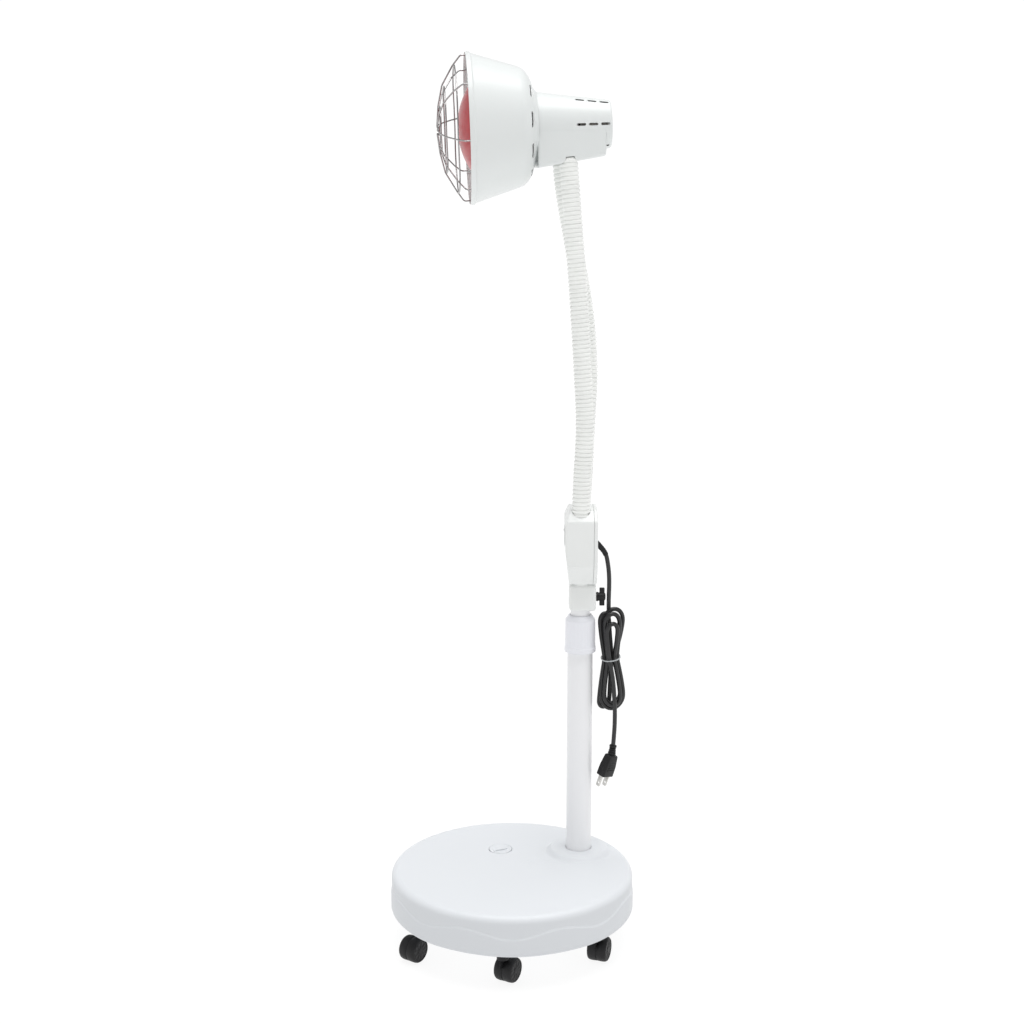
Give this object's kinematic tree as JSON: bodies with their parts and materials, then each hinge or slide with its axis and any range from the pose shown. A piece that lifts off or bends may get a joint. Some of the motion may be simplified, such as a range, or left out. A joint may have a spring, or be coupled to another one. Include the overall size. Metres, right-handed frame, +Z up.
{
  "type": "infrared heat lamp on a wheeled floor stand",
  "caption": "Floor-standing infrared lamp: caged conical shade on a twin gooseneck, control box, telescopic pole and round castored base with a tied mains cord.",
  "frame": {"origin": "on the floor under the centre of the round base", "axes": "+Z up; the lamp points towards -X; the cord hangs on the +X side; the pole stands towards +X and +Y of the base's centre"},
  "size_m": [0.306, 0.306, 1.0974],
  "materials": {
    "base_white": "moulded, satin gloss",
    "sand": "loose fill",
    "steel": "zinc plated",
    "seal_rubber": "matte",
    "castor_black": "moulded nylon, satin",
    "pole_white": "gloss powder coat",
    "nylon": "moulded",
    "collar_white": "moulded, gloss",
    "box_white": "moulded, satin gloss",
    "hose_white": "satin sleeve over a steel gooseneck",
    "cord_black": "satin jacket",
    "tie_grey": "paper-covered wire",
    "blade_brass": "nickel plated",
    "shade_white": "gloss powder coat",
    "lamp_ceramic": "unglazed",
    "ruby_glass": "ruby stained, frosted",
    "cap_aluminium": "rolled thread",
    "guard_chrome": "bright wire"
  },
  "bodies": {
    "root": {"base_shell": "base_white", "base_floor": "base_white", "ballast": "sand", "base_screws": "steel", "castor_stems": "steel", "outer_pole": "pole_white", "pole_plug": "nylon", "pole_bolt": "steel", "pole_collet": "nylon"},
    "fill_cap": {"fill_cap": "base_white", "cap_seal": "seal_rubber"},
    "castor_1": {"castor_1_hood": "castor_black"},
    "castor_1_roller": {"castor_1_wheels": "castor_black"},
    "castor_2": {"castor_2_hood": "castor_black"},
    "castor_2_roller": {"castor_2_wheels": "castor_black"},
    "castor_3": {"castor_3_hood": "castor_black"},
    "castor_3_roller": {"castor_3_wheels": "castor_black"},
    "castor_4": {"castor_4_hood": "castor_black"},
    "castor_4_roller": {"castor_4_wheels": "castor_black"},
    "castor_5": {"castor_5_hood": "castor_black"},
    "castor_5_roller": {"castor_5_wheels": "castor_black"},
    "castor_6": {"castor_6_hood": "castor_black"},
    "castor_6_roller": {"castor_6_wheels": "castor_black"},
    "lock_collar": {"lock_collar": "collar_white"},
    "inner_pole": {"inner_pole": "pole_white", "pole_bush": "nylon"},
    "control_box": {"box_shell": "box_white", "box_cover": "box_white", "box_screws": "steel", "switch_body": "box_white", "cord_gland": "cord_black", "cord_lead": "cord_black", "cord_hank": "cord_black", "cord_tie": "tie_grey", "cord_tail": "cord_black", "plug_body": "cord_black", "plug_blades": "blade_brass", "hoses_1": "hose_white"},
    "switch_rocker": {"switch_rocker": "box_white"},
    "thumb_screw": {"thumb_stud": "steel", "thumb_knob": "castor_black"},
    "neck_1": {"hoses_2": "hose_white"},
    "neck_2": {"hoses_3": "hose_white"},
    "neck_3": {"hoses_4": "hose_white"},
    "neck_4": {"hoses_5": "hose_white"},
    "neck_5": {"hoses_6": "hose_white"},
    "head": {"hoses_7": "hose_white", "shade": "shade_white", "rear_housing": "shade_white", "end_cap": "shade_white", "mount_block": "box_white", "lamp_holder": "lamp_ceramic", "bulb_glass": "ruby_glass", "bulb_cap": "cap_aluminium", "guard_spokes": "guard_chrome", "guard_ring_outer": "guard_chrome", "guard_ring_middle": "guard_chrome", "guard_ring_inner": "guard_chrome", "guard_hub": "guard_chrome", "guard_clips": "steel"}
  },
  "joints": [
    {"name": "fill_cap_lift", "type": "slide", "parent": "root", "child": "fill_cap", "axis": [0, 0, 1], "range_m": [0, 0.02]},
    {"name": "castor_1_swivel", "type": "hinge", "parent": "root", "child": "castor_1", "pos_m": [-0.1151, -0.05367, 0.04], "axis": [0, 0, 1], "continuous": true},
    {"name": "castor_1_roll", "type": "hinge", "parent": "castor_1", "child": "castor_1_roller", "pos_m": [-0.12215, -0.06338, 0.0155], "axis": [0.809, -0.5878, 0], "continuous": true},
    {"name": "castor_2_swivel", "type": "hinge", "parent": "root", "child": "castor_2", "pos_m": [-0.01107, -0.12652, 0.04], "axis": [0, 0, 1], "continuous": true},
    {"name": "castor_2_roll", "type": "hinge", "parent": "castor_2", "child": "castor_2_roller", "pos_m": [-0.00507, -0.11612, 0.0155], "axis": [-0.866, 0.5, 0], "continuous": true},
    {"name": "castor_3_swivel", "type": "hinge", "parent": "root", "child": "castor_3", "pos_m": [0.10403, -0.07284, 0.04], "axis": [0, 0, 1], "continuous": true},
    {"name": "castor_3_roll", "type": "hinge", "parent": "castor_3", "child": "castor_3_roller", "pos_m": [0.10814, -0.06157, 0.0155], "axis": [-0.9397, 0.342, 0], "continuous": true},
    {"name": "castor_4_swivel", "type": "hinge", "parent": "root", "child": "castor_4", "pos_m": [0.1151, 0.05367, 0.04], "axis": [0, 0, 1], "continuous": true},
    {"name": "castor_4_roll", "type": "hinge", "parent": "castor_4", "child": "castor_4_roller", "pos_m": [0.10947, 0.04308, 0.0155], "axis": [0.8829, -0.4695, 0], "continuous": true},
    {"name": "castor_5_swivel", "type": "hinge", "parent": "root", "child": "castor_5", "pos_m": [0.01107, 0.12652, 0.04], "axis": [0, 0, 1], "continuous": true},
    {"name": "castor_5_roll", "type": "hinge", "parent": "castor_5", "child": "castor_5_roller", "pos_m": [0.00657, 0.11539, 0.0155], "axis": [0.9272, -0.3746, 0], "continuous": true},
    {"name": "castor_6_swivel", "type": "hinge", "parent": "root", "child": "castor_6", "pos_m": [-0.10403, 0.07284, 0.04], "axis": [0, 0, 1], "continuous": true},
    {"name": "castor_6_roll", "type": "hinge", "parent": "castor_6", "child": "castor_6_roller", "pos_m": [-0.10734, 0.06131, 0.0155], "axis": [0.9613, -0.2756, 0], "continuous": true},
    {"name": "lock_collar_twist", "type": "hinge", "parent": "root", "child": "lock_collar", "pos_m": [0.086, 0.051, 0.39], "axis": [0, 0, 1], "range_deg": [0, 120]},
    {"name": "pole_extend", "type": "slide", "parent": "root", "child": "inner_pole", "axis": [0, 0, 1], "range_m": [0, 0.2]},
    {"name": "box_swivel", "type": "hinge", "parent": "inner_pole", "child": "control_box", "pos_m": [0.086, 0.051, 0.44], "axis": [0, 0, 1], "range_deg": [-170, 170]},
    {"name": "switch_rock", "type": "hinge", "parent": "control_box", "child": "switch_rocker", "pos_m": [0.069, 0.051, 0.515], "axis": [0, 1, 0], "range_deg": [0, 12]},
    {"name": "thumb_screw_turn", "type": "hinge", "parent": "control_box", "child": "thumb_screw", "pos_m": [0.111, 0.051, 0.436], "axis": [1, 0, 0], "range_deg": [-180, 180]},
    {"name": "neck_lower_bend", "type": "hinge", "parent": "control_box", "child": "neck_1", "pos_m": [0.0877, 0.051, 0.58583], "axis": [0, 1, 0], "range_deg": [-12, 12]},
    {"name": "neck_lower_bend_2", "type": "hinge", "parent": "neck_1", "child": "neck_2", "pos_m": [0.09055, 0.051, 0.6555], "axis": [0, 1, 0], "range_deg": [-12, 12]},
    {"name": "neck_lower_bend_3", "type": "hinge", "parent": "neck_2", "child": "neck_3", "pos_m": [0.08995, 0.051, 0.72517], "axis": [0, 1, 0], "range_deg": [-12, 12]},
    {"name": "neck_upper_bend", "type": "hinge", "parent": "neck_3", "child": "neck_4", "pos_m": [0.0846, 0.051, 0.79483], "axis": [0, 1, 0], "range_deg": [-12, 12]},
    {"name": "neck_upper_bend_2", "type": "hinge", "parent": "neck_4", "child": "neck_5", "pos_m": [0.0758, 0.051, 0.8645], "axis": [0, 1, 0], "range_deg": [-12, 12]},
    {"name": "neck_upper_bend_3", "type": "hinge", "parent": "neck_5", "child": "head", "pos_m": [0.0667, 0.051, 0.93417], "axis": [0, 1, 0], "range_deg": [-12, 12]}
  ],
  "couplings": [
    {"joint": "neck_lower_bend_2", "follows": "neck_lower_bend", "ratio": 1},
    {"joint": "neck_lower_bend_3", "follows": "neck_lower_bend", "ratio": 1},
    {"joint": "neck_upper_bend_2", "follows": "neck_upper_bend", "ratio": 1},
    {"joint": "neck_upper_bend_3", "follows": "neck_upper_bend", "ratio": 1}
  ]
}
